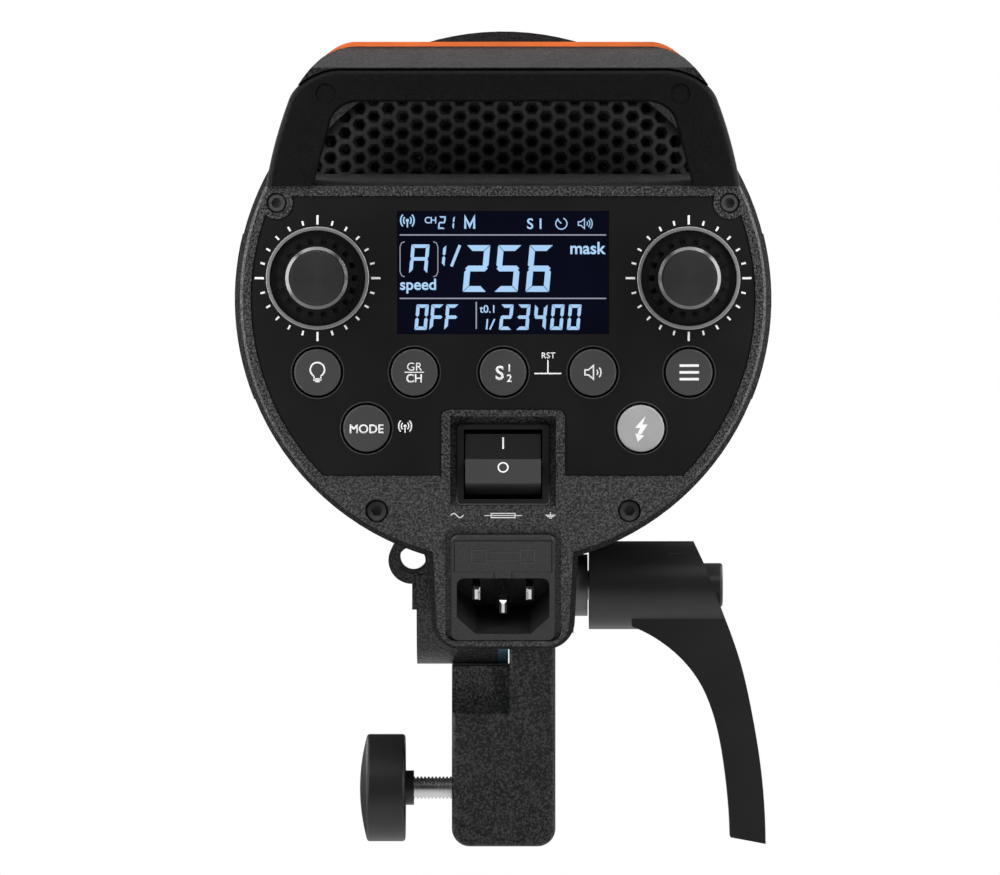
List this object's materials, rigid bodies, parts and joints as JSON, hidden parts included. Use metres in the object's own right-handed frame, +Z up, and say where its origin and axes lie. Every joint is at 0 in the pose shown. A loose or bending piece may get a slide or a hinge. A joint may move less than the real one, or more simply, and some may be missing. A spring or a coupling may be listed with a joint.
{
  "type": "monolight strobe",
  "caption": "Round studio flash head with a rear control panel, display and carry handle, on a tilting stand bracket with a clamp lever.",
  "frame": {"origin": "centre of the mouth of the stand socket, under the tilting bracket", "axes": "+Z up along the stand, +Y towards the lit subject, -Y out of the control panel"},
  "size_m": [0.1513, 0.3045, 0.223],
  "materials": {
    "textured_plastic": "moulded black plastic, fine spark texture",
    "housing_metal": "black powder coat on aluminium",
    "panel_plastic": "smooth satin black",
    "window_glass": "tinted display window",
    "board": "glass-fibre circuit board",
    "knob_plastic": "satin black",
    "spun_metal": "spun finish, dark anodised",
    "button_plastic": "matte keycap",
    "clear_button": "translucent grey keycap",
    "switch_plastic": "black switch plastic",
    "inlet_plastic": "heat-resistant black plastic",
    "pin_metal": "nickel plated brass",
    "fuse_glass": "glass tube fuse",
    "black_steel": "black oxide steel",
    "bright_steel": "bright zinc plated steel",
    "blue_steel": "blue passivated zinc plate",
    "orange_plastic": "orange trim",
    "grille_metal": "black coated sheet",
    "fan_plastic": "black fan plastic",
    "reflector_metal": "bright diffuse reflector",
    "clear_glass": "clear glass",
    "lamp_ceramic": "lamp module",
    "insulator": "white insulating board",
    "capacitor_sleeve": "dark sleeved cans",
    "cast_metal": "granular black powder coat on cast metal",
    "lever_metal": "satin black coat",
    "knob_rubber": "satin black hand knob"
  },
  "bodies": {
    "receiver": {"stand_receiver": "cast_metal"},
    "head": {"rear_cover": "textured_plastic", "cover_screws": "black_steel", "control_panel": "panel_plastic", "display_window": "window_glass", "display_module": "board", "control_board": "board", "dial_well_left": "spun_metal", "encoder_left": "bright_steel", "dial_well_right": "spun_metal", "encoder_right": "bright_steel", "switch_frame": "switch_plastic", "inlet_housing": "inlet_plastic", "inlet_pins": "pin_metal", "main_housing": "housing_metal", "side_plate_left": "housing_metal", "side_plate_right": "housing_metal", "handle_frame": "textured_plastic", "handle_cover": "textured_plastic", "handle_strip": "orange_plastic", "handle_screws": "textured_plastic", "rear_grille": "grille_metal", "inner_mesh": "grille_metal", "fan_frame": "fan_plastic", "front_bell": "textured_plastic", "bayonet_ring": "bright_steel", "reflector_plate": "reflector_metal", "flash_tube": "clear_glass", "modelling_lamp": "lamp_ceramic", "glass_cover": "clear_glass", "lamp_base": "insulator", "capacitor_bank": "capacitor_sleeve", "power_board": "board", "head_bracket": "cast_metal", "friction_disc": "blue_steel"},
    "lever_stem": {"tilt_bolt": "bright_steel", "tilt_washer": "black_steel"},
    "lever": {"tilt_lever": "lever_metal", "lever_cap": "lever_metal"},
    "clamp_slide": {"clamp_pad": "bright_steel"},
    "clamp_handwheel": {"clamp_knob": "knob_rubber", "clamp_screw": "bright_steel"},
    "fuse_carrier": {"fuse_drawer": "inlet_plastic", "fuse": "fuse_glass"},
    "rocker": {"power_rocker": "switch_plastic"},
    "fan": {"fan_rotor": "fan_plastic"},
    "mount_latch": {"mount_release": "orange_plastic"},
    "dial_shaft_left": {"encoder_shaft_left": "bright_steel"},
    "dial_left": {"knob_left": "knob_plastic", "knob_cap_left": "spun_metal"},
    "dial_shaft_right": {"encoder_shaft_right": "bright_steel"},
    "dial_right": {"knob_right": "knob_plastic", "knob_cap_right": "spun_metal"},
    "lamp_button": {"lamp_button": "button_plastic"},
    "group_button": {"group_button": "button_plastic"},
    "sync_button": {"sync_button": "button_plastic"},
    "sound_button": {"sound_button": "button_plastic"},
    "menu_button": {"menu_button": "button_plastic"},
    "mode_button": {"mode_button": "button_plastic"},
    "test_button": {"test_button": "clear_button"}
  },
  "joints": [
    {"name": "head_tilt", "type": "hinge", "parent": "receiver", "child": "head", "pos_m": [0, 0, 0.0705], "axis": [1, 0, 0], "range_deg": [-60, 60]},
    {"name": "lever_turn", "type": "hinge", "parent": "receiver", "child": "lever_stem", "pos_m": [0, 0, 0.0705], "axis": [1, 0, 0], "range_deg": [-60, 60]},
    {"name": "lever_pull", "type": "slide", "parent": "lever_stem", "child": "lever", "axis": [1, 0, 0], "range_m": [0, 0.005], "stiffness_N_per_m": 600, "springref_m": -0.003},
    {"name": "clamp_turn", "type": "hinge", "parent": "clamp_slide", "child": "clamp_handwheel", "pos_m": [-0.03, 0, 0.0153], "axis": [1, 0, 0], "range_deg": [-724, 544]},
    {"name": "clamp_travel", "type": "slide", "parent": "receiver", "child": "clamp_slide", "axis": [1, 0, 0], "range_m": [-0.002, 0.0015]},
    {"name": "power_switch", "type": "hinge", "parent": "head", "child": "rocker", "pos_m": [0, -0.112, 0.10565], "axis": [1, 0, 0], "range_deg": [0, 24]},
    {"name": "fuse_pull", "type": "slide", "parent": "head", "child": "fuse_carrier", "axis": [0, -0.9063, -0.4226], "range_m": [0, 0.02]},
    {"name": "fan_spin", "type": "hinge", "parent": "head", "child": "fan", "pos_m": [0, -0.055, 0.1485], "axis": [0, 1, 0], "continuous": true},
    {"name": "mount_release_slide", "type": "slide", "parent": "head", "child": "mount_latch", "axis": [0, -1, 0], "range_m": [0, 0.006], "stiffness_N_per_m": 500, "springref_m": -0.002},
    {"name": "dial_left_turn", "type": "hinge", "parent": "head", "child": "dial_shaft_left", "pos_m": [-0.0481, -0.12, 0.1539], "axis": [0, 1, 0], "continuous": true},
    {"name": "dial_left_push", "type": "slide", "parent": "dial_shaft_left", "child": "dial_left", "axis": [0, 1, 0], "range_m": [0, 0.0004], "stiffness_N_per_m": 3000},
    {"name": "dial_right_turn", "type": "hinge", "parent": "head", "child": "dial_shaft_right", "pos_m": [0.0481, -0.12, 0.1539], "axis": [0, 1, 0], "continuous": true},
    {"name": "dial_right_push", "type": "slide", "parent": "dial_shaft_right", "child": "dial_right", "axis": [0, 1, 0], "range_m": [0, 0.0004], "stiffness_N_per_m": 3000},
    {"name": "lamp_button_press", "type": "slide", "parent": "head", "child": "lamp_button", "axis": [0, 1, 0], "range_m": [0, 0.0006], "stiffness_N_per_m": 2500},
    {"name": "group_button_press", "type": "slide", "parent": "head", "child": "group_button", "axis": [0, 1, 0], "range_m": [0, 0.0006], "stiffness_N_per_m": 2500},
    {"name": "sync_button_press", "type": "slide", "parent": "head", "child": "sync_button", "axis": [0, 1, 0], "range_m": [0, 0.0006], "stiffness_N_per_m": 2500},
    {"name": "sound_button_press", "type": "slide", "parent": "head", "child": "sound_button", "axis": [0, 1, 0], "range_m": [0, 0.0006], "stiffness_N_per_m": 2500},
    {"name": "menu_button_press", "type": "slide", "parent": "head", "child": "menu_button", "axis": [0, 1, 0], "range_m": [0, 0.0006], "stiffness_N_per_m": 2500},
    {"name": "mode_button_press", "type": "slide", "parent": "head", "child": "mode_button", "axis": [0, 1, 0], "range_m": [0, 0.0006], "stiffness_N_per_m": 2500},
    {"name": "test_button_press", "type": "slide", "parent": "head", "child": "test_button", "axis": [0, 1, 0], "range_m": [0, 0.0006], "stiffness_N_per_m": 2500}
  ],
  "couplings": [
    {"joint": "clamp_turn", "follows": "clamp_travel", "rad_per_m": 6283.2}
  ]
}
